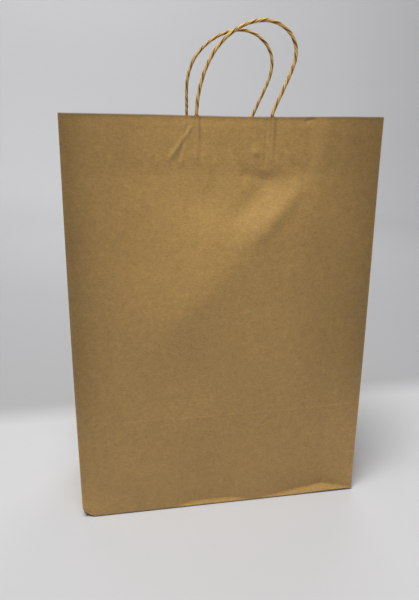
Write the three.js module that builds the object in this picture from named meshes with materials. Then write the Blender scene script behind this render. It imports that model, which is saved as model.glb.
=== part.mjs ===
// A kraft paper gift bag with pinked rim and two twisted-paper cord handles.
// Millimetres, +Z up. The origin is the middle of the base, on the surface that the bag stands on.
// The front panel looks towards -Y. The bag is drawn standing open, its side gussets part folded.
import * as THREE from "three";

// Bag
const WIDTH = 320; // along X, crease to crease
const DEPTH = 120; // of the base, along Y
const HEIGHT = 430; // floor to rim
const PAPER = 0.2; // thickness of the kraft sheet
const GAP = 0.3; // air between sheets that touch on the real bag
const MOUTH_DEPTH = 100; // outer face to outer face at the rim, standing open
const TOOTH_PITCH = 2.2; // pinked cut edge
const TOOTH_DEPTH = 0.8;

// Base, folded from the tube's end
const FLAP_DEPTH = 78; // each long flap, past the middle of the base
const TUCK_DEPTH = 64; // each end tuck, past the point where the long flaps' 45 degree folds meet
const TUCK_TIP = 12; // width of the tuck's inner edge

// Gussets: two halves a side, hinged at the wall's corner and at the centre crease
const GUSSET_HALF = DEPTH / 2;
const HINGE_INSET = 0.9; // from the wall's outer face to the corner hinge's axis
const HINGE_EDGE = 0.1; // from the bag's side to that axis
const CORNER_CUT = 0.4; // a half starts this far from its corner hinge
const CREASE_CUT = 1.5; // and stops this far short of the centre crease
const SEAM_LAP = 20; // glued side seam, inside the back panel

// Handles: a U of cord whose legs are glued between two paper strips
const CORD = 3.6; // diameter
const LEG_PITCH = 75;
const PATCH_WIDTH = 152.4;
const PATCH_HEIGHT = 38;
const PATCH_DROP = 8; // from the rim down to the strips
const LEG_DEPTH = 44; // how far a leg reaches below the rim
const FRONT_HANDLE_X = 6;
const BACK_HANDLE_X = 11;
const LOOP_LIFT = 1; // the loop starts this far above the rim
const LEG_DROP = 0.3; // and the glued leg ends this far below it
const CORD_SIDES = 8;
const LOOP_STEPS = 28;

// Centreline of each loop: [x, height above the rim]
const FRONT_ROUTE = [
  [-31.5, LOOP_LIFT], [-31, 8], [-30, 16], [-27.5, 27], [-23.5, 39], [-17, 52], [-9.5, 62],
  [-1, 70], [9, 76.5], [20, 81], [32, 83], [43.5, 81.5], [53.5, 76.5], [60.5, 69], [64, 59.5],
  [63.5, 49.5], [60, 38.5], [55, 27], [49.5, 15], [46, 7.5], [43.5, LOOP_LIFT],
];
const BACK_ROUTE = [
  [-26.5, LOOP_LIFT], [-26.5, 8], [-26.5, 18], [-26.5, 31], [-24.5, 44.5], [-19.5, 57.5],
  [-12, 68], [-2, 77], [8.5, 83.5], [20.5, 88], [33, 90], [45, 88], [55, 83], [63.5, 75],
  [68.5, 65], [69.5, 54.5], [67.5, 43.5], [63, 32], [57, 19.5], [52, 8.5], [48.5, LOOP_LIFT],
];

// Worked out from the sizes above
const LAYER = PAPER + GAP;
const WALL_Z = 4 * LAYER; // the walls' lower edge, clear of the three layers of the base
const WALL_Y = MOUTH_DEPTH / 2; // outer face of the front and back panels
const HINGE_Y = WALL_Y - HINGE_INSET;
const HINGE_X = WIDTH / 2 - HINGE_EDGE;
const GUSSET_TURN = Math.asin(HINGE_Y / GUSSET_HALF); // a half's angle from the X axis
const CORD_RADIUS = CORD / 2;
const BACKING_Y = WALL_Y - LAYER; // outer face of the strip next to the panel
const COVER_Y = BACKING_Y - LAYER; // outer face of the strip over the cord
const CORD_Y = COVER_Y - CORD_RADIUS; // middle of the cord

const kraft = () => new THREE.MeshStandardMaterial({ color: 0xa58552, roughness: 0.85, metalness: 0 });
const stripPaper = () => new THREE.MeshStandardMaterial({ color: 0xa98a58, roughness: 0.85, metalness: 0 });
const cordPaper = () => new THREE.MeshStandardMaterial({ color: 0x9a7a49, roughness: 0.8, metalness: 0 });

function named(name, geometry, material) {
  const mesh = new THREE.Mesh(geometry, material);
  mesh.name = name;
  return mesh;
}

function polygon(points) {
  return new THREE.Shape(points.map(([x, y]) => new THREE.Vector2(x, y)));
}

function extrude(points, depth) {
  return new THREE.ExtrudeGeometry(polygon(points), { depth, bevelEnabled: false });
}

// A standing sheet: its outline runs from (left, 0) to (right, height) and its top edge is pinked.
// It comes back upright, with its thickness centred on y = 0.
function standingSheet(left, right, height) {
  const teeth = Math.round((right - left) / TOOTH_PITCH);
  const pitch = (right - left) / teeth;
  const outline = [[left, 0], [right, 0], [right, height - TOOTH_DEPTH]];
  for (let i = 0; i < teeth; i += 1) {
    const start = right - i * pitch;
    outline.push([start - pitch / 2, height]);
    outline.push([start - pitch, height - TOOTH_DEPTH]);
  }
  const sheet = extrude(outline, PAPER);
  sheet.translate(0, 0, -PAPER / 2);
  sheet.rotateX(Math.PI / 2);
  return sheet;
}

// The front or back panel; side is -1 for the front and 1 for the back.
function makePanel(name, side) {
  const panel = named(name, standingSheet(-WIDTH / 2, WIDTH / 2, HEIGHT - WALL_Z), kraft());
  panel.position.set(0, side * (WALL_Y - PAPER / 2), WALL_Z);
  return panel;
}

// Half of a side gusset, from its corner hinge towards the centre crease.
// hand is -1 on the left and 1 on the right; side is -1 for the front half and 1 for the rear half.
function makeGussetHalf(name, hand, side) {
  const sheet = standingSheet(CORNER_CUT, GUSSET_HALF - CREASE_CUT, HEIGHT - WALL_Z);
  const half = named(name, sheet, kraft());
  half.position.set(hand * HINGE_X, side * HINGE_Y, WALL_Z);
  half.rotation.z = hand < 0 ? -side * GUSSET_TURN : Math.PI + side * GUSSET_TURN;
  return half;
}

// The tube's glued edge, lapped inside the back panel at its left corner.
function makeSeamFlap() {
  const left = -WIDTH / 2 + 1;
  const sheet = extrude([[left, 0], [left + SEAM_LAP, 0], [left + SEAM_LAP, PAPER], [left, PAPER]],
    HEIGHT - WALL_Z - 2);
  const flap = named("side_seam_flap", sheet, kraft());
  flap.position.set(0, BACKING_Y - PAPER, WALL_Z);
  return flap;
}

// A long flap of the base: its hinge edge is the full width, and 45 degree folds narrow it.
function makeBaseFlap(name, side, layer) {
  const edge = side * DEPTH / 2;
  const narrow = WIDTH / 2 - DEPTH / 2;
  const outline = [
    [-WIDTH / 2, edge], [WIDTH / 2, edge], [narrow, 0],
    [narrow, edge - side * FLAP_DEPTH], [-narrow, edge - side * FLAP_DEPTH], [-narrow, 0],
  ];
  if (side > 0) outline.reverse();
  const flap = named(name, extrude(outline, PAPER), kraft());
  flap.position.z = layer * LAYER;
  return flap;
}

// An end tuck of the base, under the gusset, lying on the long flaps inside the bag.
function makeEndTuck(name, hand) {
  const end = hand * WIDTH / 2;
  const tip = TUCK_TIP / 2;
  const outline = [
    [end, -DEPTH / 2], [end, DEPTH / 2],
    [end - hand * TUCK_DEPTH, tip], [end - hand * TUCK_DEPTH, -tip],
  ];
  if (hand < 0) outline.reverse();
  const tuck = named(name, extrude(outline, PAPER), kraft());
  tuck.position.z = 2 * LAYER;
  return tuck;
}

// The flat strip glued to the panel, behind the cord.
function makeBackingStrip(name) {
  const half = PATCH_WIDTH / 2;
  const strip = named(name, extrude([[-half, 0], [half, 0], [half, PAPER], [-half, PAPER]],
    PATCH_HEIGHT), stripPaper());
  strip.position.set(0, -BACKING_Y, HEIGHT - PATCH_DROP - PATCH_HEIGHT);
  return strip;
}

// One pass along the cover strip, over both legs: radius and height of the arch are the cord's
// own plus the clearance on that face.
function coverPath(radius, face) {
  const points = [[-PATCH_WIDTH / 2, face]];
  for (const leg of [-LEG_PITCH / 2, LEG_PITCH / 2]) {
    points.push([leg - radius, face]);
    const arch = new THREE.EllipseCurve(leg, CORD_RADIUS, radius, radius, Math.PI, 0, true);
    for (const p of arch.getPoints(8)) points.push([p.x, p.y]);
    points.push([leg + radius, face]);
  }
  points.push([PATCH_WIDTH / 2, face]);
  return points;
}

// The strip over the cord, pressed down between and beside its two legs.
function makeCoverStrip(name) {
  const under = coverPath(CORD_RADIUS + GAP, 0);
  const over = coverPath(CORD_RADIUS + GAP + PAPER, PAPER);
  const strip = named(name, extrude([...under, ...over.reverse()], PATCH_HEIGHT), stripPaper());
  strip.position.set(0, -COVER_Y, HEIGHT - PATCH_DROP - PATCH_HEIGHT);
  return strip;
}

function cordSection() {
  const points = [];
  for (let i = 0; i < CORD_SIDES; i += 1) {
    const turn = (i + 0.5) * 2 * Math.PI / CORD_SIDES;
    points.push([CORD_RADIUS * Math.cos(turn), CORD_RADIUS * Math.sin(turn)]);
  }
  return points;
}

// The glued end of the cord, from its cut end up to just under the rim.
function makeCordLeg(name, x) {
  const leg = named(name, extrude(cordSection(), LEG_DEPTH - LEG_DROP), cordPaper());
  leg.position.set(x, -CORD_Y, HEIGHT - LEG_DEPTH);
  return leg;
}

// The free loop of the cord, above the rim.
function makeLoop(name, route, side) {
  const points = route.map(([x, rise]) => new THREE.Vector3(x, side * CORD_Y, HEIGHT + rise));
  const path = new THREE.CatmullRomCurve3(points, false, "centripetal");
  const loop = new THREE.ExtrudeGeometry(polygon(cordSection()), {
    extrudePath: path, steps: LOOP_STEPS, bevelEnabled: false,
  });
  return named(name, loop, cordPaper());
}

// The strips and glued legs of one handle, drawn for the front wall and turned round for the back.
function makeHandlePatch(word, x, side) {
  const patch = new THREE.Group();
  patch.position.x = x;
  patch.rotation.z = side < 0 ? 0 : Math.PI;
  const left = side * LEG_PITCH / 2;
  patch.add(
    makeBackingStrip(`${word}_patch_backing`),
    makeCoverStrip(`${word}_patch_cover`),
    makeCordLeg(`${word}_cord_leg_left`, left),
    makeCordLeg(`${word}_cord_leg_right`, -left),
  );
  return patch;
}

const bag = new THREE.Group();
bag.add(
  makePanel("front_panel", -1),
  makePanel("back_panel", 1),
  makeGussetHalf("left_gusset_front", -1, -1),
  makeGussetHalf("left_gusset_rear", -1, 1),
  makeGussetHalf("right_gusset_front", 1, -1),
  makeGussetHalf("right_gusset_rear", 1, 1),
  makeSeamFlap(),
  makeBaseFlap("base_rear_flap", 1, 0),
  makeBaseFlap("base_front_flap", -1, 1),
  makeEndTuck("base_left_tuck", -1),
  makeEndTuck("base_right_tuck", 1),
  makeHandlePatch("front", FRONT_HANDLE_X, -1),
  makeHandlePatch("back", BACK_HANDLE_X, 1),
  makeLoop("front_handle_loop", FRONT_ROUTE, -1),
  makeLoop("back_handle_loop", BACK_ROUTE, 1),
);

export default bag;
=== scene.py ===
"""A kraft paper gift bag with twisted-paper cord handles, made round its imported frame.

The walls, gussets and base are sheets of paper with creases, dents and a pinked rim. Each handle
is one twisted cord, glued between two paper strips. Everything is in metres, +Z up.
"""

import math

import bpy
import numpy as np
from mathutils import Matrix, Vector


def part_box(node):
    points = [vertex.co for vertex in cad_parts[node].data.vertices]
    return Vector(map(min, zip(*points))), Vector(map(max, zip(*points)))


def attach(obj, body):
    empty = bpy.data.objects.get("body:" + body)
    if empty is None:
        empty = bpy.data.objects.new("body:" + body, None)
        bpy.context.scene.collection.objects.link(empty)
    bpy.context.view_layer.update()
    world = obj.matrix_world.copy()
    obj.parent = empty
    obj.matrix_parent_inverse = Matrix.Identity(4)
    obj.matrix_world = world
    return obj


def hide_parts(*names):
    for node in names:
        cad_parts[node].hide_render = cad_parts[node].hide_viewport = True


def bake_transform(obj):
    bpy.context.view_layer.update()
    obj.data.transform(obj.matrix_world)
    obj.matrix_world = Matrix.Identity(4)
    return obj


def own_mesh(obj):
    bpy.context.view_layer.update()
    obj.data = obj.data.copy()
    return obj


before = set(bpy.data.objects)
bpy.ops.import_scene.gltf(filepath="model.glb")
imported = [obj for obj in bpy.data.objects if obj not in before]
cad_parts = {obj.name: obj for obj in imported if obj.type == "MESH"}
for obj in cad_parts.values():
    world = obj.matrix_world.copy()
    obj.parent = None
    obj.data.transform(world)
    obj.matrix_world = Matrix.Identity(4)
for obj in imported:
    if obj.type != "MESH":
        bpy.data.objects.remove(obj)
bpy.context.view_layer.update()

bl_info = {
    "name": "Kraft Gift Bag",
    "version": (1, 0, 0),
    "blender": (4, 5, 0),
    "location": "View3D > Sidebar > Gift Bag",
    "description": "Builds a kraft paper gift bag with twisted-paper cord handles",
    "category": "Add Mesh",
}

MM = 0.001

# The bag's own places, from the frame
FRONT_LOW, FRONT_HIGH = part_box("front_panel")
STRIP_LOW, STRIP_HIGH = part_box("front_patch_cover")
HALF_WIDTH = FRONT_HIGH.x
RIM_Z = FRONT_HIGH.z
RIM_HALF = -FRONT_LOW.y  # middle of the bag to a wall's outer face, at the rim
BASE_HALF = -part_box("base_front_flap")[0].y  # and at the floor
FLAP_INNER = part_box("base_front_flap")[1].y
TUCK_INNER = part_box("base_right_tuck")[0].x
SEAM_LOW, SEAM_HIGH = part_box("side_seam_flap")
STRIP_HALF = (STRIP_HIGH.x - STRIP_LOW.x) / 2
PACKING_FOLD = 115 * MM  # height of the print that folding for packing left on the front wall
FRONT_FULLNESS, BACK_FULLNESS = 5.5 * MM, 4.0 * MM  # how far each wall swells at mid height
STRIP_PAPER = 0.2 * MM  # thickness of the handle strips
STRAIGHT_Z = STRIP_LOW.z - 10 * MM  # above this the walls stand upright, where the strips are glued

# Centreline of each loop: [x, height above the rim]
FRONT_LOOP = [
    (-31.5, 1), (-31, 8), (-30, 16), (-27.5, 27), (-23.5, 39), (-17, 52), (-9.5, 62),
    (-1, 70), (9, 76.5), (20, 81), (32, 83), (43.5, 81.5), (53.5, 76.5), (60.5, 69), (64, 59.5),
    (63.5, 49.5), (60, 38.5), (55, 27), (49.5, 15), (46, 7.5), (43.5, 1),
]
BACK_LOOP = [
    (-26.5, 1), (-26.5, 8), (-26.5, 18), (-26.5, 31), (-24.5, 44.5), (-19.5, 57.5),
    (-12, 68), (-2, 77), (8.5, 83.5), (20.5, 88), (33, 90), (45, 88), (55, 83), (63.5, 75),
    (68.5, 65), (69.5, 54.5), (67.5, 43.5), (63, 32), (57, 19.5), (52, 8.5), (48.5, 1),
]


def hex_to_linear(code):
    """The linear colour of an sRGB hex value such as #A08050."""
    parts = [int(code[i : i + 2], 16) / 255 for i in (1, 3, 5)]
    return [c / 12.92 if c <= 0.04045 else ((c + 0.055) / 1.055) ** 2.4 for c in parts]


# ---------------------------------------------------------------- settings


class PaperSettings(bpy.types.PropertyGroup):
    """The bag's sheet: its thickness, rim and colours."""

    thickness: bpy.props.FloatProperty(
        name="Paper thickness",
        description="Thickness of the kraft sheet",
        default=0.22 * MM,
        unit="LENGTH",
        precision=5,
    )
    tooth_pitch: bpy.props.FloatProperty(
        name="Pinking pitch",
        description="Distance between the teeth of the cut rim",
        default=2.2 * MM,
        unit="LENGTH",
        precision=5,
    )
    tooth_depth: bpy.props.FloatProperty(
        name="Pinking depth",
        description="Height of the teeth of the cut rim",
        default=1.4 * MM,
        unit="LENGTH",
        precision=5,
    )
    glazed: bpy.props.FloatVectorProperty(
        name="Glazed side",
        description="Colour of the smooth outer side",
        subtype="COLOR",
        size=3,
        min=0,
        max=1,
        default=hex_to_linear("#B18C50"),
    )
    felt: bpy.props.FloatVectorProperty(
        name="Felt side",
        description="Colour of the rough inner side",
        subtype="COLOR",
        size=3,
        min=0,
        max=1,
        default=hex_to_linear("#AA8756"),
    )


class HandleSettings(bpy.types.PropertyGroup):
    """The handles: twisted cord and the strips that hold it."""

    twist: bpy.props.FloatProperty(
        name="Twist",
        description="Length of cord in one turn of its twist",
        default=24 * MM,
        unit="LENGTH",
        precision=5,
    )
    groove: bpy.props.FloatProperty(
        name="Groove depth",
        description="Depth of the grooves between the cord's plies",
        default=0.5 * MM,
        unit="LENGTH",
        precision=5,
    )
    cord: bpy.props.FloatVectorProperty(
        name="Cord",
        description="Colour of the twisted paper on the plies' crowns",
        subtype="COLOR",
        size=3,
        min=0,
        max=1,
        default=hex_to_linear("#DDB463"),
    )
    # Painted shade: this darker colour stands in for the shade down the sides of the grooves.
    flank: bpy.props.FloatVectorProperty(
        name="Cord flanks",
        description="Colour of the twisted paper down the sides of its grooves",
        subtype="COLOR",
        size=3,
        min=0,
        max=1,
        default=hex_to_linear("#93682C"),
    )
    # Painted shadow: this dark colour stands in for the shadow at the bottom of the grooves.
    shadow: bpy.props.FloatVectorProperty(
        name="Cord grooves",
        description="Colour of the twisted paper at the bottom of its grooves",
        subtype="COLOR",
        size=3,
        min=0,
        max=1,
        default=hex_to_linear("#4A2C0C"),
    )
    strip: bpy.props.FloatVectorProperty(
        name="Strip",
        description="Colour of the paper strips over the cord's legs",
        subtype="COLOR",
        size=3,
        min=0,
        max=1,
        default=hex_to_linear("#AD8A58"),
    )


class StageSettings(bpy.types.PropertyGroup):
    """The floor and the camera."""

    floor: bpy.props.FloatVectorProperty(
        name="Floor",
        description="Colour of the pale floor",
        subtype="COLOR",
        size=3,
        min=0,
        max=1,
        default=hex_to_linear("#CACACB"),
    )
    focal_length: bpy.props.FloatProperty(
        name="Focal length",
        description="Focal length of the camera's lens, for a 36 mm sensor",
        default=33.0,
        unit="CAMERA",
    )


# ---------------------------------------------------------------- shapes


def smooth(low, high, value):
    """0 below low, 1 above high, and an even curve between them."""
    t = np.clip((value - low) / (high - low), 0, 1)
    return t * t * (3 - 2 * t)


def hump(distance, width):
    """A rounded ridge, 1 on its line and gone past about twice its width."""
    return np.exp(-((distance / width) ** 2))


def ripples(x, z, seed, wavelength, height):
    """Gentle unevenness: a dozen seeded waves that cross at all angles."""
    rng = np.random.default_rng(seed)
    total = np.zeros(np.broadcast(x, z).shape)
    waves = 12
    for _ in range(waves):
        turn = rng.uniform(0, 2 * math.pi)
        length = wavelength * rng.uniform(0.7, 1.4)
        phase = rng.uniform(0, 2 * math.pi)
        along = x * math.cos(turn) + z * math.sin(turn)
        total = total + np.sin(2 * math.pi * along / length + phase)
    return height * total / math.sqrt(waves)


def fold(x, z, start, end, width, height, fade=0.15):
    """A ridge of that height (a groove if it is negative) from start to end on a wall."""
    ax, az = start
    bx, bz = end
    length = math.hypot(bx - ax, bz - az)
    ux, uz = (bx - ax) / length, (bz - az) / length
    along = ((x - ax) * ux + (z - az) * uz) / length
    across = (x - ax) * uz - (z - az) * ux
    ends = smooth(-fade, fade, along) * (1 - smooth(1 - fade, 1 + fade, along))
    return height * hump(across, width) * ends


def wall_half(z):
    """Middle of the bag to a wall's outer face: upright at the strips, splayed below them."""
    t = np.clip(1 - z / STRAIGHT_Z, 0, 1)
    return RIM_HALF + (BASE_HALF - RIM_HALF) * t**1.2


CORNER_TUCK = 1.6 * MM  # how far a wall turns in towards its corner crease
CORNER_REACH = 16 * MM


def corner_half(z):
    """Middle of the bag to the corner crease, which lies a little behind the wall's face."""
    return wall_half(z) - CORNER_TUCK * smooth(0, 40 * MM, z)


def corner_x(z):
    """The corner creases bow out a little at mid height."""
    return HALF_WIDTH + 1.2 * MM * np.sin(np.pi * z / RIM_Z)


def wall_face(u, z, fullness):
    """Outward distance of a plain wall's face: u is -1 and 1 at its corner creases."""
    mid = np.sin(np.pi * np.clip(z / STRAIGHT_Z, 0, 1) ** 0.85)
    side = (1 - np.abs(u)) * HALF_WIDTH
    turn = CORNER_TUCK * smooth(0, 40 * MM, z) * np.exp(-side / CORNER_REACH)
    return wall_half(z) + fullness * mid * (1 - np.abs(u) ** 3) - turn


def inner_fade(u, z):
    """Keeps dents off the wall's creases, which it shares with the gussets and the base."""
    return smooth(0, 0.05, 1 - np.abs(u)) * smooth(0, 10 * MM, z)


def leg_relief(x, drop, middle, pitch):
    """What shows through the wall of a handle: two legs, and the edges of its strips."""
    relief = np.zeros_like(x)
    for leg in (middle - pitch / 2, middle + pitch / 2):
        relief = relief + 0.5 * MM * hump(x - leg, 2.1 * MM) * (1 - smooth(38 * MM, 46 * MM, drop))
        for side in (-1, 1):
            relief = relief - 0.22 * MM * hump(x - leg - side * 4.4 * MM, 1.3 * MM) * (
                1 - smooth(30 * MM, 44 * MM, drop)
            )
    inside = smooth(-1.2 * MM, 1.2 * MM, STRIP_HALF - np.abs(x - middle))
    top = RIM_Z - STRIP_HIGH.z
    low = RIM_Z - STRIP_LOW.z
    rows = smooth(-1.2 * MM, 1.2 * MM, drop - top) * smooth(-1.2 * MM, 1.2 * MM, low - drop)
    return relief + 0.2 * MM * inside * rows


# The front wall's long slanting dent: a point on it and the way down its slope, to the right
DENT_X, DENT_DROP = 42 * MM, 86 * MM
DENT_TURN = math.radians(44)

# Creases of each wall: start and end [x, drop below the rim], width and height, in millimetres
FRONT_CREASES = (
    ((-37, 11), (-58, 41), 1.9, 0.8),  # the two that run out from the left leg
    ((-41, 10), (-50, 44), 1.5, -0.6),
    ((38, 3), (36, 48), 1.4, -0.5),  # beside the right leg
    ((-27, 20), (-24, 44), 1.6, -0.3),  # beside the left leg
    ((14, 56), (44, 60), 6, -1.1),  # the hollow under the strips
    ((76, 5), (86, 2), 1.5, -0.7),  # a nick in the rim
)
BACK_CREASES = (
    ((-90, 110), (60, 250), 26, 3.2),
    ((-104, 130), (30, 260), 12, -1.6),
    ((70, 80), (124, 180), 11, -1.8),
)


def creased(x, drop, creases):
    """All of a wall's creases, as outward distance."""
    relief = np.zeros_like(x)
    for (ax, az), (bx, bz), width, height in creases:
        start, end = (ax * MM, az * MM), (bx * MM, bz * MM)
        relief = relief + fold(x, drop, start, end, width * MM, height * MM)
    return relief


def long_dent(u, drop):
    """The front wall's slanting fold, sharp under the strips and dying out down the wall."""
    x = u * HALF_WIDTH
    across = (x - DENT_X) * math.cos(DENT_TURN) + (drop - DENT_DROP) * math.sin(DENT_TURN)
    along = -(x - DENT_X) * math.sin(DENT_TURN) + (drop - DENT_DROP) * math.cos(DENT_TURN)
    ridge = hump(across - 12 * MM, 9 * MM)
    valley = hump(across + 16 * MM, 11 * MM)
    sharp = np.exp(-((along / (38 * MM)) ** 4)) * smooth(44 * MM, 66 * MM, drop)
    round_top = np.sqrt((across - 14 * MM) ** 2 + (9 * MM) ** 2) - 9 * MM
    soft = np.exp(-round_top / (65 * MM)) * (1 - smooth(110 * MM, 260 * MM, along))
    soft = soft * smooth(44 * MM, 125 * MM, drop) * (1 - np.abs(u) ** 4)
    return 2.2 * MM * sharp * (ridge - valley) + 7.6 * MM * soft


def front_relief(u, z):
    """Dents and impressions of the front wall, as outward distance."""
    u, z = np.broadcast_arrays(u, z)
    x = u * HALF_WIDTH
    drop = RIM_Z - z
    relief = long_dent(u, drop) + rim_lean(x, drop) + creased(x, drop, FRONT_CREASES)
    relief -= 1.6 * MM * hump(np.hypot(x + 24 * MM, drop - 82 * MM), 21 * MM)  # a hollow
    relief += 0.9 * MM * hump(np.hypot(x - 27 * MM, drop - 34 * MM), 3.2 * MM)  # a lump of glue
    relief += leg_relief(x, drop, *LEGS["front"])
    mark = PACKING_FOLD + ripples(x, x * 0, 5, 90 * MM, 0.5 * MM)
    relief += 0.13 * MM * hump(z - mark, 1.4 * MM) * smooth(-0.75, -0.5, u)
    relief += ripples(x, z, 11, 95 * MM, 0.32 * MM) * smooth(30 * MM, 80 * MM, drop)
    relief += ripples(x, z, 12, 24 * MM, 0.035 * MM)
    return relief * inner_fade(u, z)


def rim_lean(x, drop):
    """Outward lean of the front wall's upper corners, beside the stiffer strips."""
    bend = 88 * MM - 0.1 * drop
    right = smooth(-6 * MM, 16 * MM, x - bend) * (1 - smooth(112 * MM, 160 * MM, x))
    dip = hump(x - bend + 8 * MM, 9 * MM) * smooth(STRIP_HALF + 8 * MM, STRIP_HALF + 18 * MM, x)
    left = smooth(-84 * MM, -118 * MM, x) * (1 - smooth(-112 * MM, -160 * MM, x))
    outward = 4.2 * MM * right - 0.7 * MM * dip + 2.4 * MM * left
    return outward * (1 - smooth(0, 110 * MM, drop))


def foot_slivers(x):
    """Height of the fold line along the crumpled foot, and how far the foot stands out below it:
    a long sliver that is widest before the right corner, and a small one left of the middle."""
    right = np.clip((x - 40 * MM) / (82 * MM), 0, 1)
    right = right * (1 - 0.75 * np.clip((x - 122 * MM) / (38 * MM), 0, 1))
    left = smooth(-62 * MM, -30 * MM, x) * (1 - smooth(8 * MM, 34 * MM, x))
    return 8.5 * MM * right + 4 * MM * left, 7 * MM * right + 3.2 * MM * left


def foot_fold(x, z):
    """Inward distance of the front wall above its crumpled foot, whose slivers face up."""
    height, depth = foot_slivers(x)
    rise = np.clip(z / np.maximum(height, 0.5 * MM), 0, 1)
    return depth * rise * np.exp(-np.maximum(z - height, 0) / (60 * MM))


def back_relief(u, z):
    """Dents and creases of the back wall, as outward distance."""
    u, z = np.broadcast_arrays(u, z)
    x = u * HALF_WIDTH
    drop = RIM_Z - z
    relief = -2.2 * MM * np.exp(-np.abs(z - BASE_HALF) / (14 * MM))  # where the base folded up
    relief -= 0.14 * MM * hump(z - 2 * BASE_HALF, 1.2 * MM)
    relief += creased(x, drop, BACK_CREASES) + leg_relief(x, drop, *LEGS["back"])
    relief += ripples(x, z, 21, 105 * MM, 0.4 * MM) * smooth(30 * MM, 80 * MM, drop)
    relief += ripples(x, z, 22, 26 * MM, 0.035 * MM)
    return relief * inner_fade(u, z)


def legs_of(word):
    """Middle and pitch of a handle's two glued legs."""
    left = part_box(f"{word}_cord_leg_left")
    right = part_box(f"{word}_cord_leg_right")
    a = (left[0].x + left[1].x) / 2
    b = (right[0].x + right[1].x) / 2
    return (a + b) / 2, b - a


LEGS = {word: legs_of(word) for word in ("front", "back")}


def settle(points):
    """Small mishaps that the whole sheet shares: a crumpled foot, whose crease rides just off
    the floor, a blunted front corner and a slack rim."""
    p = points.copy()
    facing = smooth(-BASE_HALF + 25 * MM, -BASE_HALF + 4 * MM, p[..., 1])
    p[..., 1] += facing * foot_fold(p[..., 0], p[..., 2])
    lift = 1.5 * MM + 0.9 * MM * smooth(70 * MM, 150 * MM, p[..., 0])
    p[..., 2] += lift * facing * (1 - smooth(0, 20 * MM, p[..., 2]))
    corner = np.array([-HALF_WIDTH, -BASE_HALF, 0])
    near = np.clip(1 - np.linalg.norm(p - corner, axis=-1) / (14 * MM), 0, 1) ** 1.5
    p += near[..., None] * np.array([4.5, 2.5, 4.0]) * MM
    slack = hump(p[..., 0] - 20 * MM, 80 * MM) * smooth(0.5, 1, p[..., 2] / RIM_Z)
    p[..., 2] -= 1.3 * MM * slack
    return p


def row_levels():
    """Heights of the walls' rows: close at the foot, the folds and the rim, wider between."""
    foot = np.arange(0, 12, 1.5) * MM
    middle = np.arange(12 * MM, RIM_Z - 62 * MM, 3.6 * MM)
    rim = np.linspace(RIM_Z - 62 * MM, RIM_Z, 40)
    folds = [f + np.arange(-4, 5) * 0.6 * MM for f in (BASE_HALF, PACKING_FOLD, 2 * BASE_HALF)]
    folds = np.concatenate(folds)
    clear = np.abs(middle[:, None] - folds[None, :]).min(axis=1) > 0.5 * MM
    return np.sort(np.concatenate([foot, middle[clear], folds, rim]))


def pinked(points, paper):
    """The rows of points, with every other column of the rim cut down into a valley."""
    points[-1, 1::2, 2] -= paper.tooth_depth
    return points


def wall_points(paper, side):
    """Outer face of the front (side -1) or back (side 1) wall, as rows of points."""
    columns = 2 * round(2 * HALF_WIDTH / paper.tooth_pitch)
    u = np.linspace(-1, 1, columns + 1)[None, :] * -side
    z = row_levels()[:, None]
    relief = front_relief if side < 0 else back_relief
    fullness = FRONT_FULLNESS if side < 0 else BACK_FULLNESS
    out = wall_face(u, z, fullness) + relief(u, z)
    points = np.stack(np.broadcast_arrays(u * corner_x(z), side * out, z), axis=-1)
    return settle(pinked(points, paper))


def gusset_inset(t, z):
    """How far a gusset stands in from the corner creases: t is 0 at a crease and 1 midway."""
    apex = BASE_HALF  # the slanting creases meet this far above the floor
    reach = np.sqrt(np.maximum(BASE_HALF**2 - corner_half(np.maximum(z, apex)) ** 2, 0))
    return reach * np.minimum(t, np.maximum(z, 0) / apex)


def gusset_points(paper, hand):
    """Outer face of the left (hand -1) or right (hand 1) gusset, as rows of points."""
    columns = 2 * round(2 * BASE_HALF / paper.tooth_pitch)
    v = np.linspace(-1, 1, columns + 1)[None, :] * hand
    z = row_levels()[:, None]
    t = 1 - np.abs(v)
    inset = gusset_inset(t, z) - 1.1 * MM * np.sin(np.pi * t) * smooth(60 * MM, 200 * MM, z)
    rear = smooth(0, 0.3, v)
    inset = inset + 1.0 * MM * rear * np.sin(np.pi * t) * hump(z - BASE_HALF, 5 * MM)
    wave = ripples(v * BASE_HALF, z, 31 + hand, 60 * MM, 0.22 * MM) * smooth(0, 0.12, t)
    inset = inset + wave * smooth(0, 20 * MM, z)
    points = np.stack(
        np.broadcast_arrays(hand * (corner_x(z) - inset), v * corner_half(z), z), axis=-1
    )
    return settle(pinked(points, paper))


def grid_normals(points):
    """Unit normals of a grid of points, on the side that its faces look to."""
    across = np.gradient(points, axis=1)
    up = np.gradient(points, axis=0)
    n = np.cross(across, up)
    return n / np.maximum(np.linalg.norm(n, axis=-1, keepdims=True), 1e-12)


def grid_quads(rows, columns, offset, flip):
    """The faces of one grid of vertices."""
    r, c = np.meshgrid(np.arange(rows - 1), np.arange(columns - 1), indexing="ij")
    a = (r * columns + c + offset).ravel()
    quads = np.stack([a, a + 1, a + columns + 1, a + columns], axis=1)
    return quads[:, ::-1] if flip else quads


def edge_quads(rows, columns):
    """The faces round the cut edge, between the two faces of a sheet."""
    total = rows * columns
    low = np.arange(columns)
    right = np.arange(rows) * columns + columns - 1
    high = (rows - 1) * columns + low[::-1]
    left = np.arange(rows)[::-1] * columns
    loop = np.concatenate([low[:-1], right[:-1], high[:-1], left[:-1]])
    after = np.roll(loop, -1)
    return np.stack([after, loop, loop + total, after + total], axis=1)


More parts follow.
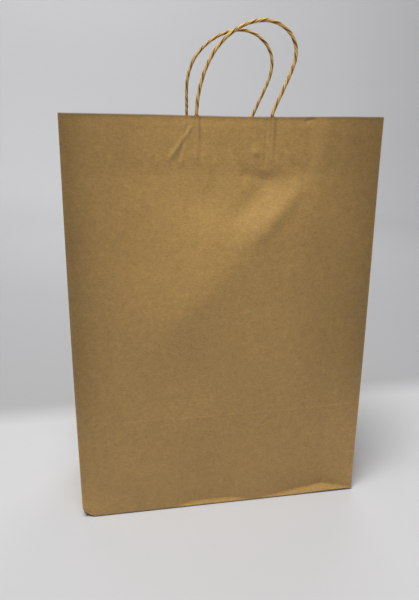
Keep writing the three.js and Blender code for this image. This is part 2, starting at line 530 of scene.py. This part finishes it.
def paper_sheet(name, outer, thickness, finishes, creases=None):
    """A closed sheet of paper from its outer face. finishes are its outer and inner materials, and
    creases marks the tone: up to 1 where folding has paled it or where a highlight is painted, down
    to -1 where shade is painted."""
    rows, columns = outer.shape[:2]
    inner = outer - grid_normals(outer) * thickness
    vertices = np.concatenate([outer.reshape(-1, 3), inner.reshape(-1, 3)])
    front = grid_quads(rows, columns, 0, False)
    back = grid_quads(rows, columns, rows * columns, True)
    edge = edge_quads(rows, columns)
    mesh = bpy.data.meshes.new(name)
    mesh.from_pydata(vertices.tolist(), [], np.concatenate([front, back, edge]).tolist())
    for finish in finishes:
        mesh.materials.append(finish)
    index = np.concatenate([np.zeros(len(front)), np.ones(len(back) + len(edge))])
    mesh.polygons.foreach_set("material_index", index.astype(np.int32))
    mesh.polygons.foreach_set("use_smooth", np.concatenate(
        [np.ones(len(front) + len(back), bool), np.zeros(len(edge), bool)]
    ))
    wear_and_shading_tone = np.zeros(rows * columns) if creases is None else creases.reshape(-1)
    mark = mesh.attributes.new("crease_wear_and_shading", "FLOAT", "POINT")
    mark.data.foreach_set("value", np.concatenate([wear_and_shading_tone, wear_and_shading_tone]).astype(np.float32))
    mesh.update()
    mesh.set_sharp_from_angle(angle=math.radians(60))
    piece = bpy.data.objects.new(name, mesh)
    bpy.context.scene.collection.objects.link(piece)
    return piece


def fold_with_bag(piece, *nodes):
    """The sheet moves with the front wall's body, in place of the frame's parts, which are hidden.
    """
    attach(piece, "front_wall")
    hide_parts(*nodes)
    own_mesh(piece)


# ---------------------------------------------------------------- cord


def curve_through(points, step):
    """Points spaced by step along a smooth curve through the given ones (Catmull-Rom)."""
    p = np.array(points, float)
    p = np.concatenate([[2 * p[0] - p[1]], p, [2 * p[-1] - p[-2]]])
    t = np.linspace(0, 1, 24, endpoint=False)[:, None]
    pieces = []
    for a, b, c, d in zip(p[:-3], p[1:-2], p[2:-1], p[3:]):
        cubic = 2 * b + (c - a) * t + (2 * a - 5 * b + 4 * c - d) * t**2
        pieces.append(0.5 * (cubic + (3 * b - a - 3 * c + d) * t**3))
    line = np.concatenate([*pieces, [p[-2]]])
    along = np.concatenate([[0], np.cumsum(np.linalg.norm(np.diff(line, axis=0), axis=1))])
    stops = np.linspace(0, along[-1], round(along[-1] / step) + 1)
    return np.stack([np.interp(stops, along, line[:, k]) for k in range(3)], axis=1)


def handle_line(word, loop):
    """Centreline of a handle's whole cord: up one leg, round the loop and down the other."""
    low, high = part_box(f"{word}_cord_leg_left")
    y = (low.y + high.y) / 2
    left, right = loop[0][0] * MM, loop[-1][0] * MM
    leg = [low.z, (low.z + high.z) / 2, high.z]
    points = [(left, y, z) for z in leg]
    points += [(x * MM, y, RIM_Z + rise * MM) for x, rise in loop]
    points += [(right, y, z) for z in reversed(leg)]
    return curve_through(points, 0.55 * MM)


def slow_waves(rng, along, sizes, lengths):
    """Four seeded waves along a cord, of sizes and lengths (in millimetres) between two limits."""
    return sum(
        rng.uniform(*sizes) * np.sin(along / (rng.uniform(*lengths) * MM) + rng.uniform(0, 6))
        for _ in range(4)
    )


def groove_depths(twist, along, groove):
    """Depth of a cord's surface below its crowns: two deep grooves, uneven along the cord, and
    finer ones where the strip of paper folded over itself."""
    fine = 2.5 * twist + 0.8 * np.sin(along / (9 * MM))
    uneven = 0.8 + 0.2 * np.sin(twist + along / (8 * MM))
    deep = np.exp(-((np.sin(twist) / 0.3) ** 2))
    return groove * (uneven * deep + 0.4 * np.exp(-((np.sin(fine) / 0.3) ** 2)))


def tube_faces(rows, columns):
    """The faces of a closed tube whose end centres are its last two vertices."""
    i, j = np.meshgrid(np.arange(rows - 1), np.arange(columns), indexing="ij")
    k = (j + 1) % columns
    a, b = i * columns, (i + 1) * columns
    quads = np.stack([a + j, b + j, b + k, a + k], axis=-1).reshape(-1, 4)
    start, end, last = rows * columns, rows * columns + 1, (rows - 1) * columns
    caps = [(start, j, (j + 1) % columns) for j in range(columns)]
    caps += [(end, last + (j + 1) % columns, last + j) for j in range(columns)]
    return quads.tolist() + caps


def twisted_cord(name, line, radius, handle, finish, seed):
    """A cord twisted from one strip of paper, round a centreline that lies in an upright plane
    across the bag."""
    sides = 28
    rng = np.random.default_rng(seed)
    tangent = np.gradient(line, axis=0)
    tangent /= np.linalg.norm(tangent, axis=1, keepdims=True)
    flat = np.tile([0.0, 1.0, 0.0], (len(line), 1))
    upright = np.cross(tangent, flat)
    steps = np.linalg.norm(np.diff(line, axis=0), axis=1)
    along = np.concatenate([[0], np.cumsum(steps)])[:, None]
    wander = slow_waves(rng, along, (0.25, 0.6), (5, 16))
    swell = slow_waves(rng, along, (0.01, 0.03), (3, 11))
    angle = np.linspace(0, 2 * math.pi, sides, endpoint=False)[None, :]
    depth = groove_depths(
        angle - 2 * math.pi * along / handle.twist - wander, along, handle.groove
    )
    r = radius * (1.03 + swell) - depth
    ring = np.cos(angle)[..., None] * upright[:, None, :]
    ring = ring + np.sin(angle)[..., None] * flat[:, None, :]
    points = line[:, None, :] + r[..., None] * ring
    vertices = np.concatenate([points.reshape(-1, 3), line[:1], line[-1:]])
    faces = tube_faces(len(line), sides)
    mesh = bpy.data.meshes.new(name)
    mesh.from_pydata(vertices.tolist(), [], faces)
    mesh.materials.append(finish)
    mesh.polygons.foreach_set("use_smooth", np.ones(len(faces), bool))
    share = np.concatenate([(depth / handle.groove).ravel(), [0.5, 0.5]])
    mark = mesh.attributes.new("groove_depth", "FLOAT", "POINT")
    mark.data.foreach_set("value", share.astype(np.float32))
    mesh.update()
    mesh.validate()
    piece = bpy.data.objects.new(name, mesh)
    bpy.context.scene.collection.objects.link(piece)
    return piece


# ---------------------------------------------------------------- materials


def add_node(tree, kind, settings=None, links=None):
    """Adds a node: settings are its properties or its inputs' values, and links feed its inputs."""
    node = tree.nodes.new(kind)
    for key, value in (settings or {}).items():
        if isinstance(key, int) or key in node.inputs:
            node.inputs[key].default_value = value
        else:
            setattr(node, key, value)
    for key, source in (links or {}).items():
        tree.links.new(source, node.inputs[key])
    return node


def empty_material(name):
    """A new material with nothing in it but its output."""
    material = bpy.data.materials.new(name)
    material.use_nodes = True
    tree = material.node_tree
    tree.nodes.clear()
    return material, tree, tree.nodes.new("ShaderNodeOutputMaterial")


def shade(colour, factor=1.0):
    """A linear colour made lighter or darker, with full alpha."""
    return [min(1.0, c * factor) for c in colour] + [1.0]


def pulp_colour(tree, where, flecks, colour, grain):
    """The paper's colour: mottled by its fibres, over clouds of 7 mm where the pulp settled and
    the slow drift of tone across a sheet. grain is how strong the mottling is."""
    fleck_colour = add_node(tree, "ShaderNodeValToRGB", links={"Fac": flecks.outputs["Fac"]})
    ramp = fleck_colour.color_ramp
    ramp.elements[0].position = 0.3
    ramp.elements[0].color = shade(colour, 1 - grain)
    ramp.elements[1].position = 0.72
    ramp.elements[1].color = shade(colour, 1 + grain)
    source = fleck_colour.outputs["Color"]
    for size, detail, swing in ((7, 2.0, grain * 0.35), (70, 1.0, 0.025)):
        clouds = add_node(
            tree,
            "ShaderNodeTexNoise",
            {"Scale": 1 / (size * MM), "Detail": detail, "Roughness": 0.5},
            {"Vector": where.outputs["Object"]},
        )
        tone = add_node(
            tree,
            "ShaderNodeMapRange",
            {"From Min": 0.3, "From Max": 0.7, "To Min": 1 - swing, "To Max": 1 + swing},
            {"Value": clouds.outputs["Fac"]},
        )
        source = add_node(
            tree,
            "ShaderNodeVectorMath",
            {"operation": "SCALE"},
            {0: source, "Scale": tone.outputs["Result"]},
        ).outputs["Vector"]
    return source


def with_shives(tree, stretch, source, colour):
    """Dark shives on the colour: bits of uncooked wood, about one in every 9 mm square."""
    shives = add_node(
        tree,
        "ShaderNodeTexVoronoi",
        {"Scale": 1 / (9 * MM), "Randomness": 1.0},
        {"Vector": stretch.outputs["Vector"]},
    )
    mask = add_node(
        tree,
        "ShaderNodeMapRange",
        {"From Min": 0.03, "From Max": 0.075, "To Min": 0.55, "To Max": 0.0},
        {"Value": shives.outputs["Distance"]},
    )
    mixed = add_node(
        tree,
        "ShaderNodeMix",
        {"data_type": "RGBA", 7: shade(colour, 0.42)},
        {0: mask.outputs["Result"], 6: source},
    )
    return mixed.outputs[2]


def with_wear_and_shading(tree, source):
    """The colour made paler along broken creases and where a highlight is painted, and darker where
    shade is painted.
    """
    wear = add_node(tree, "ShaderNodeAttribute", {"attribute_name": "crease_wear_and_shading"})
    amount = add_node(
        tree,
        "ShaderNodeMapRange",
        {"From Min": -1.0, "From Max": 1.0, "To Min": 0.6, "To Max": 1.4},
        {"Value": wear.outputs["Fac"]},
    )
    wear_and_shading_tone = add_node(
        tree,
        "ShaderNodeVectorMath",
        {"operation": "SCALE"},
        {0: source, "Scale": amount.outputs["Result"]},
    )
    return wear_and_shading_tone.outputs["Vector"]


def kraft_paper(name, colour, roughness, grain, tooth):
    """Unbleached kraft paper. grain is how strongly its fibres mottle it, and tooth how rough the
    surface feels. Fibres are 1 to 3 mm long and 0.03 mm wide, too fine to show at this distance,
    so they are drawn as flecks about 2.6 mm by 1.3 mm, with finer ones in them."""
    material, tree, output = empty_material(name)
    where = add_node(tree, "ShaderNodeTexCoord")
    stretch = add_node(
        tree, "ShaderNodeMapping", {"Scale": (0.5, 1.0, 1.0)}, {"Vector": where.outputs["Object"]}
    )
    flecks = add_node(
        tree,
        "ShaderNodeTexNoise",
        {"Scale": 1 / (1.3 * MM), "Detail": 3.0, "Roughness": 0.65},
        {"Vector": stretch.outputs["Vector"]},
    )
    pulp = pulp_colour(tree, where, flecks, colour, grain)
    wear_and_shading_tone = with_wear_and_shading(tree, with_shives(tree, stretch, pulp, colour))
    polish = add_node(
        tree,
        "ShaderNodeMapRange",
        {"From Min": 0.3, "From Max": 0.7, "To Min": roughness - 0.05, "To Max": roughness + 0.06},
        {"Value": flecks.outputs["Fac"]},
    )
    bump = add_node(
        tree,
        "ShaderNodeBump",
        {"Strength": tooth, "Distance": 0.12 * MM},
        {"Height": flecks.outputs["Fac"]},
    )
    shader = add_node(
        tree,
        "ShaderNodeBsdfPrincipled",
        {"IOR": 1.5},
        {
            "Base Color": wear_and_shading_tone,
            "Roughness": polish.outputs["Result"],
            "Normal": bump.outputs["Normal"],
        },
    )
    tree.links.new(shader.outputs["BSDF"], output.inputs["Surface"])
    return material


def glazed_kraft(paper):
    """Machine-glazed kraft, the bag's outer side: dried against a polished drum, so it has a
    satin sheen that pales the colour at a low angle."""
    return kraft_paper("machine_glazed_kraft", paper.glazed, 0.46, 0.17, 0.25)


def felt_kraft(paper):
    """The felt side of the same sheet, inside the bag: matt, with more visible fibre."""
    return kraft_paper("felt_side_kraft", paper.felt, 0.72, 0.2, 0.5)


def strip_kraft(handle):
    """Lighter kraft of the handle strips: matt and unglazed."""
    return kraft_paper("unglazed_strip_kraft", handle.strip, 0.7, 0.2, 0.5)


def twisted_kraft(handle):
    """Kraft paper twisted damp into cord and dried: waxy crowns, with painted shade down the flanks
    and a painted shadow in the grooves, darker the deeper the groove. Its fibres are drawn as
    flecks of 1.1 mm, coarser than they are, so that they show."""
    material, tree, output = empty_material("twisted_kraft_cord")
    where = add_node(tree, "ShaderNodeTexCoord")
    groove = add_node(tree, "ShaderNodeAttribute", {"attribute_name": "groove_depth"})
    flecks = add_node(
        tree,
        "ShaderNodeTexNoise",
        {"Scale": 1 / (1.1 * MM), "Detail": 3.0},
        {"Vector": where.outputs["Object"]},
    )
    # Painted shade: from the crowns' own colour through shaded flanks to shadowed groove bottoms,
    # by groove depth.
    depth = add_node(tree, "ShaderNodeValToRGB", links={"Fac": groove.outputs["Fac"]})
    ramp = depth.color_ramp
    ramp.elements[0].position = 0.05
    ramp.elements[0].color = shade(handle.cord)
    ramp.elements[1].position = 0.7
    ramp.elements[1].color = shade(handle.shadow)
    ramp.elements.new(0.25).color = shade(handle.flank)
    fleck_shade = add_node(
        tree,
        "ShaderNodeMapRange",
        {"From Min": 0.3, "From Max": 0.7, "To Min": 0.7, "To Max": 1.25},
        {"Value": flecks.outputs["Fac"]},
    )
    coloured = add_node(
        tree,
        "ShaderNodeVectorMath",
        {"operation": "SCALE"},
        {0: depth.outputs["Color"], "Scale": fleck_shade.outputs["Result"]},
    )
    bump = add_node(
        tree,
        "ShaderNodeBump",
        {"Strength": 0.4, "Distance": 0.15 * MM},
        {"Height": flecks.outputs["Fac"]},
    )
    shader = add_node(
        tree,
        "ShaderNodeBsdfPrincipled",
        {"IOR": 1.48, "Roughness": 0.55},
        {"Base Color": coloured.outputs["Vector"], "Normal": bump.outputs["Normal"]},
    )
    tree.links.new(shader.outputs["BSDF"], output.inputs["Surface"])
    return material


def matt_floor(stage):
    """Painted studio floor: matt and pale, with painted shade and light laid behind the bag: a dark
    band just behind it, where a backdrop's curve would be in shade, lightening further back to
    paler than the floor far off, and fading out to either side.
    """
    material, tree, output = empty_material("matt_studio_paint")
    where = add_node(tree, "ShaderNodeTexCoord")
    place = add_node(tree, "ShaderNodeSeparateXYZ", links={0: where.outputs["Object"]})
    behind = add_node(
        tree,
        "ShaderNodeMapRange",
        {"From Min": 0.165, "From Max": 2.6},
        {"Value": place.outputs["Y"]},
    )
    aside = add_node(tree, "ShaderNodeMath", {"operation": "ABSOLUTE"}, {0: place.outputs["X"]})
    # How far to either side the painted shade and light reach.
    painted_shade_reach = add_node(
        tree,
        "ShaderNodeMapRange",
        {"From Min": 1.3, "From Max": 2.0, "To Min": 1.0, "To Max": 0.0},
        {"Value": aside.outputs["Value"]},
    )
    # Painted shade in a band just behind the bag, and painted light far behind it.
    tone = add_node(tree, "ShaderNodeValToRGB", links={"Fac": behind.outputs["Result"]})
    ramp = tone.color_ramp
    ramp.elements[0].position = 0.0
    ramp.elements[0].color = shade(stage.floor)
    ramp.elements[1].position = 1.0
    ramp.elements[1].color = shade(stage.floor, 1.15)
    ramp.elements.new(0.025).color = shade(stage.floor, 0.68)
    ramp.elements.new(0.3).color = shade(stage.floor, 0.78)
    colour = add_node(
        tree,
        "ShaderNodeMix",
        {"data_type": "RGBA", 6: shade(stage.floor)},
        {0: painted_shade_reach.outputs["Result"], 7: tone.outputs["Color"]},
    )
    shader = add_node(
        tree, "ShaderNodeBsdfPrincipled", {"Roughness": 0.85}, {"Base Color": colour.outputs[2]}
    )
    tree.links.new(shader.outputs["BSDF"], output.inputs["Surface"])
    return material


MADE = {}  # each material that is already made, by the function that makes it


def shared_material(make, settings):
    """The material that make gives, made once and kept."""
    if make not in MADE:
        MADE[make] = make(settings)
    return MADE[make]


def bag_finishes(scene):
    """Outer and inner finish of the bag's sheet."""
    return (
        shared_material(glazed_kraft, scene.gift_bag_paper),
        shared_material(felt_kraft, scene.gift_bag_paper),
    )


# ---------------------------------------------------------------- operators


def add_light(name, place, aim, size, power, colour=(1, 1, 1)):
    """A square soft box that looks at a point."""
    lamp = bpy.data.lights.new(name, "AREA")
    lamp.size = size
    lamp.energy = power
    lamp.color = colour
    box = bpy.data.objects.new(name, lamp)
    box.location = place
    way = Vector(aim) - Vector(place)
    box.rotation_euler = way.to_track_quat("-Z", "Y").to_euler()
    bpy.context.scene.collection.objects.link(box)
    return box


class GIFTBAG_OT_stage(bpy.types.Operator):
    """Make the pale floor, the soft light and the camera"""

    bl_idname = "giftbag.stage"
    bl_label = "Stage"

    def execute(self, context):
        self.make_camera(context)
        self.make_floor(context)
        self.make_lights(context)
        return {"FINISHED"}

    def make_camera(self, context):
        """A camera a little left of the bag, level with its rim and looking down at it."""
        camera = bpy.data.cameras.new("camera")
        camera.lens = context.scene.gift_bag_stage.focal_length
        camera.shift_x, camera.shift_y = 0.0158, 0.0058
        place = Matrix.Translation((-0.1248, -0.5918, 0.4119))
        yaw = Matrix.Rotation(math.radians(-10.2), 4, "Z")
        pitch = Matrix.Rotation(math.radians(90 - 17.13), 4, "X")
        roll = Matrix.Rotation(math.radians(0.41), 4, "Z")
        holder = bpy.data.objects.new("camera", camera)
        holder.matrix_world = place @ yaw @ pitch @ roll
        context.scene.collection.objects.link(holder)
        context.scene.camera = holder

    def make_floor(self, context):
        """A flat floor that curves up into a wall a long way off, all round."""
        flat, bend, top, around = 2.2, 0.9, 2.6, 72
        rings = [(flat * i / 4, 0.0) for i in range(1, 5)]
        for i in range(1, 9):
            turn = i * math.pi / 16
            rings.append((flat + bend * math.sin(turn), bend * (1 - math.cos(turn))))
        rings.append((flat + bend, top))
        vertices = [(0.0, 0.0, 0.0)]
        for radius, height in rings:
            for j in range(around):
                turn = 2 * math.pi * j / around
                vertices.append((radius * math.cos(turn), radius * math.sin(turn), height))
        faces = [(0, 1 + j, 1 + (j + 1) % around) for j in range(around)]
        for i in range(len(rings) - 1):
            for j in range(around):
                a = 1 + i * around + j
                b = 1 + i * around + (j + 1) % around
                faces.append((a, a + around, b + around, b))
        mesh = bpy.data.meshes.new("floor")
        mesh.from_pydata(vertices, [], faces)
        mesh.polygons.foreach_set("use_smooth", [True] * len(faces))
        mesh.materials.append(matt_floor(context.scene.gift_bag_stage))
        floor = bpy.data.objects.new("floor", mesh)
        context.scene.collection.objects.link(floor)

    def make_lights(self, context):
        """A large soft box overhead, one for the backdrop, a weak one behind, and pale air."""
        add_light("key_light", (-0.35, -0.5, 2.1), (0, 0, 0.25), 0.8, 42)
        add_light("backdrop_light", (-0.3, 1.3, 2.0), (0, 2.6, 1.0), 1.2, 20)
        add_light("rear_fill", (0.8, 1.5, 1.7), (0, 0, 0.2), 1.0, 7)
        world = bpy.data.worlds.new("soft_air")
        world.use_nodes = True
        sky = world.node_tree.nodes["Background"]
        sky.inputs["Color"].default_value = (0.93, 0.96, 1.0, 1.0)
        sky.inputs["Strength"].default_value = 0.2
        context.scene.world = world
        context.scene.view_settings.view_transform = "Standard"


class GIFTBAG_OT_walls(bpy.types.Operator):
    """Make the front and back walls, with their dents and pinked rim"""

    bl_idname = "giftbag.walls"
    bl_label = "Walls"

    def execute(self, context):
        paper = context.scene.gift_bag_paper
        for word, side in (("front", -1), ("back", 1)):
            points = wall_points(paper, side)
            # creases holds the wall's crease wear and its painted shade and highlight
            creases = self.creases(points, side)
            wall = paper_sheet(
                f"{word}_wall_sheet", points, paper.thickness, bag_finishes(context.scene), creases
            )
            fold_with_bag(wall, f"{word}_panel")
        return {"FINISHED"}

    def creases(self, points, side):
        """Pale where fibres are broken, at the corner creases and the foot. Darker with painted
        shade towards the side edges above the foot, along the cut rim and most in the valleys of
        its teeth, and in a thin line each side of each handle leg near the rim."""
        x, z = points[..., 0], points[..., 2]
        edge = HALF_WIDTH - np.abs(x)
        wear_and_shading_tone = 0.3 * hump(edge, 1.0 * MM) + 0.35 * hump(z, 1.2 * MM)
        # Painted shade: darker towards the side edges, where the wall turns away from the light.
        wear_and_shading_tone = wear_and_shading_tone - 0.72 * smooth(60 * MM, 200 * MM, z) * np.exp(-edge / (34 * MM))
        # Painted shade along the cut rim, darkest in the valleys between the teeth.
        wear_and_shading_tone[-2:] -= 0.35
        wear_and_shading_tone[-2:, 1::2] -= 0.6
        wear_and_shading_tone[-3, 1::2] -= 0.5
        middle, pitch = LEGS["front" if side < 0 else "back"]
        # Painted shade in a thin line each side of each leg.
        for leg in (middle - pitch / 2, middle + pitch / 2):
            beside = hump(np.abs(x - leg) - 2.4 * MM, 1.1 * MM)
            wear_and_shading_tone = wear_and_shading_tone - 0.55 * beside * smooth(RIM_Z - 34 * MM, RIM_Z - 8 * MM, z)
        wear_and_shading_tone = wear_and_shading_tone + (self.front_wear_and_shading(x, z) if side < 0 else self.back_marks(z))
        return np.clip(wear_and_shading_tone, -1, 1)

    def front_wear_and_shading(self, x, z):
        """The front's own: paler at its blunted corner and along its packing fold; a painted shadow
        along the line over its crumpled foot; a painted highlight on the zone round its strips;
        painted shade down the left edge and over the right third."""
        marks = 0.5 * hump(np.hypot(x + HALF_WIDTH, z), 11 * MM)
        marks = marks + 0.13 * hump(z - PACKING_FOLD, 1.0 * MM)
        above = z - foot_slivers(x)[0] - 1.5 * MM
        # Painted shadow along the fold over the foot's sliver, towards the right corner.
        marks = marks - 0.8 * hump(above, 1.4 * MM) * smooth(90 * MM, 150 * MM, x)
        # Painted highlight over the zone round the strips.
        marks = marks + 0.24 * hump(x + 14 * MM, 84 * MM) * smooth(200 * MM, 330 * MM, z)
        # Painted shade down the left edge.
        marks = marks - 0.45 * np.exp(-(HALF_WIDTH + x) / (28 * MM)) * smooth(0, 60 * MM, z)
        # Painted shade over the right third.
        return marks - 0.2 * smooth(60 * MM, 200 * MM, z) * smooth(60 * MM, 100 * MM, x)

    def back_marks(self, z):
        """The back's own: the two lines on which the base is folded up for packing."""
        return 0.5 * hump(z - BASE_HALF, 0.9 * MM) + 0.2 * hump(z - 2 * BASE_HALF, 0.9 * MM)


class GIFTBAG_OT_gussets(bpy.types.Operator):
    """Make the two side gussets, folded in along their centre creases"""

    bl_idname = "giftbag.gussets"
    bl_label = "Gussets"

    def execute(self, context):
        paper = context.scene.gift_bag_paper
        for word, hand in (("left", -1), ("right", 1)):
            points = gusset_points(paper, hand)
            gusset = paper_sheet(
                f"{word}_gusset_sheet",
                points,
                paper.thickness,
                bag_finishes(context.scene),
                self.creases(points),
            )
            fold_with_bag(gusset, f"{word}_gusset_front", f"{word}_gusset_rear")
        return {"FINISHED"}

    def creases(self, points):
        """The corner creases, the centre crease and the two slanting ones at the foot."""
        y, z = np.abs(points[..., 1]), points[..., 2]
        slant = np.abs(z - (BASE_HALF - y)) / math.sqrt(2)
        wear_and_shading_tone = 0.5 * hump(y, 0.9 * MM) * (z > BASE_HALF) + 0.5 * hump(slant, 0.9 * MM)
        wear_and_shading_tone = wear_and_shading_tone + 0.5 * hump(corner_half(z) - y, 0.9 * MM) + 0.35 * hump(z, 1.2 * MM)
        return np.clip(wear_and_shading_tone, 0, 1)


class GIFTBAG_OT_seam(bpy.types.Operator):
    """Make the glued lap of the side seam, inside the back wall"""

    bl_idname = "giftbag.seam"
    bl_label = "Side seam"

    def execute(self, context):
        paper = context.scene.gift_bag_paper
        z = np.linspace(SEAM_LOW.z, SEAM_HIGH.z, 110)[:, None]
        x = np.linspace(SEAM_HIGH.x, SEAM_LOW.x, 13)[None, :]
        u = x / HALF_WIDTH
        out = wall_face(u, z, BACK_FULLNESS) + back_relief(u, z) - paper.thickness - 0.12 * MM
        lift = 0.25 * MM * smooth(5 * MM, 0, SEAM_HIGH.x - x) * (
            0.5 + ripples(x, z, 41, 45 * MM, 0.4)
        )
        wander = ripples(z * 0, z, 42, 80 * MM, 0.35 * MM)
        points = np.stack(np.broadcast_arrays(x + wander, out - lift, z), axis=-1)
        lap = paper_sheet(
            "side_seam_lap", points, paper.thickness, bag_finishes(context.scene)[::-1]
        )
        fold_with_bag(lap, "side_seam_flap")
        return {"FINISHED"}


class GIFTBAG_OT_base(bpy.types.Operator):
    """Make the base: two long flaps glued over each other and two end tucks"""

    bl_idname = "giftbag.base"
    bl_label = "Base"

    def execute(self, context):
        scene = context.scene
        layer = scene.gift_bag_paper.thickness + 0.1 * MM
        self.long_flap(scene, "front", -1, layer)
        self.long_flap(scene, "rear", 1, layer)
        for word, hand in (("left", -1), ("right", 1)):
            self.end_tuck(scene, word, hand, layer)
        return {"FINISHED"}

    def long_flap(self, scene, word, side, layer):
        """A long flap: full width at its crease, narrowed by slanting folds. The front one
        lies on the rear one, and lifts where it climbs over the rear one's edge."""
        paper = scene.gift_bag_paper
        depth = np.linspace(0, BASE_HALF + FLAP_INNER, 53)[::side, None]
        x = np.linspace(-1, 1, 161)[None, :] * (HALF_WIDTH - np.minimum(depth, BASE_HALF))
        y = side * (BASE_HALF - depth)
        z = self.bed(x, y, 0)
        if side < 0:
            z = z + layer * smooth(-FLAP_INNER - 5 * MM, -FLAP_INNER - 1 * MM, y)
        points = np.stack(np.broadcast_arrays(x, y, z), axis=-1)
        flap = paper_sheet(
            f"base_{word}_flap_sheet", settle(points), paper.thickness, bag_finishes(scene)
        )
        fold_with_bag(flap, f"base_{word}_flap")

    def end_tuck(self, scene, word, hand, layer):
        """An end tuck, which narrows inwards and lies on the long flaps."""
        paper = scene.gift_bag_paper
        reach = np.linspace(0, HALF_WIDTH - TUCK_INNER, 45)[None, :]
        if hand > 0:
            reach = reach[:, ::-1]
        v = np.linspace(1, -1, 61)[:, None]
        narrow = BASE_HALF - 0.84 * reach
        x = hand * (HALF_WIDTH - reach)
        y = v * narrow
        z = self.bed(x, y, 1) + 2 * layer * smooth(0, 5 * MM, reach)
        points = np.stack(np.broadcast_arrays(x, y, z), axis=-1)
        tuck = paper_sheet(
            f"base_{word}_tuck_sheet", settle(points), paper.thickness, bag_finishes(scene)
        )
        fold_with_bag(tuck, f"base_{word}_tuck")

    def bed(self, x, y, seed):
        """Slight unevenness of paper lying on the floor, never below it."""
        return 0.12 * MM + ripples(x, y, 51 + seed, 40 * MM, 0.04 * MM)


class GIFTBAG_OT_strips(bpy.types.Operator):
    """Make the paper strips that hold each handle's legs to its wall"""

    bl_idname = "giftbag.strips"
    bl_label = "Handle strips"

    def execute(self, context):
        finish = shared_material(strip_kraft, context.scene.gift_bag_handle)
        for word, side, body in (("front", -1, "front_wall"), ("back", 1, "back_wall")):
            for layer in ("backing", "cover"):
                node = f"{word}_patch_{layer}"
                points = self.strip_points(node, side, layer == "cover", LEGS[word])
                strip = paper_sheet(f"{node}_strip", points, STRIP_PAPER, (finish, finish))
                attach(strip, body)
                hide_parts(node)
        return {"FINISHED"}

    def strip_points(self, node, side, over_cord, legs):
        """The strip's face towards the wall. The cover is pressed down beside the legs and
        rises over them, and its cut ends lift a little."""
        low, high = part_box(node)
        face = low.y if side < 0 else high.y
        x = np.linspace(low.x, high.x, 209)[None, :] * np.ones((48, 1))
        z = np.linspace(low.z, high.z, 48)[:, None] * np.ones((1, 209))
        if side > 0:  # so that the rows run the same way as seen from outside
            x = x[:, ::-1]
        out = ripples(x, z, 61 + side, 18 * MM, 0.03 * MM)
        if over_cord:
            middle, pitch = legs
            for leg in (middle - pitch / 2, middle + pitch / 2):
                out = out + 4.0 * MM * hump(x - leg, 3.3 * MM)
                out = out + fold(x, z, (leg + 6 * MM, low.z), (leg + 9 * MM, high.z), 1.2 * MM,
                                 0.18 * MM)
            ends = smooth(6 * MM, 0, high.x - x) + smooth(6 * MM, 0, x - low.x)
            out = out + 0.25 * MM * ends
        y = face - side * out
        z = z + ripples(x, z * 0, 63, 30 * MM, 0.12 * MM)
        return np.stack([x, y, z], axis=-1)


class GIFTBAG_OT_handles(bpy.types.Operator):
    """Make the two handles, each one twisted paper cord"""

    bl_idname = "giftbag.handles"
    bl_label = "Handles"

    def execute(self, context):
        handle = context.scene.gift_bag_handle
        finish = shared_material(twisted_kraft, handle)
        parts = (("front", FRONT_LOOP, "front_wall", 71), ("back", BACK_LOOP, "back_wall", 72))
        for word, loop, wall, seed in parts:
            line = handle_line(word, loop)
            low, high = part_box(f"{word}_handle_loop")
            radius = (high.y - low.y) / 2
            cord = twisted_cord(f"{word}_handle_cord", line, radius, handle, finish, seed)
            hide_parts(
                f"{word}_handle_loop",
                f"{word}_cord_leg_left",
                f"{word}_cord_leg_right",
            )
            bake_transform(cord)
        return {"FINISHED"}


class GIFTBAG_PT_panel(bpy.types.Panel):
    """Lists the bag's pieces and the sizes and colours that can be changed"""

    bl_label = "Gift Bag"
    bl_idname = "GIFTBAG_PT_panel"
    bl_space_type = "VIEW_3D"
    bl_region_type = "UI"
    bl_category = "Gift Bag"

    def draw(self, context):
        scene = context.scene
        for group in (scene.gift_bag_stage, scene.gift_bag_paper, scene.gift_bag_handle):
            box = self.layout.box()
            for key in group.__annotations__:
                box.prop(group, key)
        for operator in OPERATORS:
            self.layout.operator(operator.bl_idname)


OPERATORS = (
    GIFTBAG_OT_stage,
    GIFTBAG_OT_handles,
    GIFTBAG_OT_walls,
    GIFTBAG_OT_gussets,
    GIFTBAG_OT_seam,
    GIFTBAG_OT_base,
    GIFTBAG_OT_strips,
)
SETTINGS = {
    "gift_bag_paper": PaperSettings,
    "gift_bag_handle": HandleSettings,
    "gift_bag_stage": StageSettings,
}


def register():
    """Register the settings, the operators and the panel."""
    for name, group in SETTINGS.items():
        bpy.utils.register_class(group)
        setattr(bpy.types.Scene, name, bpy.props.PointerProperty(type=group))
    for item in (*OPERATORS, GIFTBAG_PT_panel):
        bpy.utils.register_class(item)


def unregister():
    """Take them away again, in the other order."""
    for item in (GIFTBAG_PT_panel, *reversed(OPERATORS)):
        bpy.utils.unregister_class(item)
    for name, group in reversed(SETTINGS.items()):
        delattr(bpy.types.Scene, name)
        bpy.utils.unregister_class(group)


def main():
    """Build the whole bag."""
    register()
    bpy.ops.giftbag.stage()
    bpy.ops.giftbag.handles()
    bpy.ops.giftbag.walls()
    bpy.ops.giftbag.gussets()
    bpy.ops.giftbag.seam()
    bpy.ops.giftbag.base()
    bpy.ops.giftbag.strips()


if __name__ == "__main__":
    main()
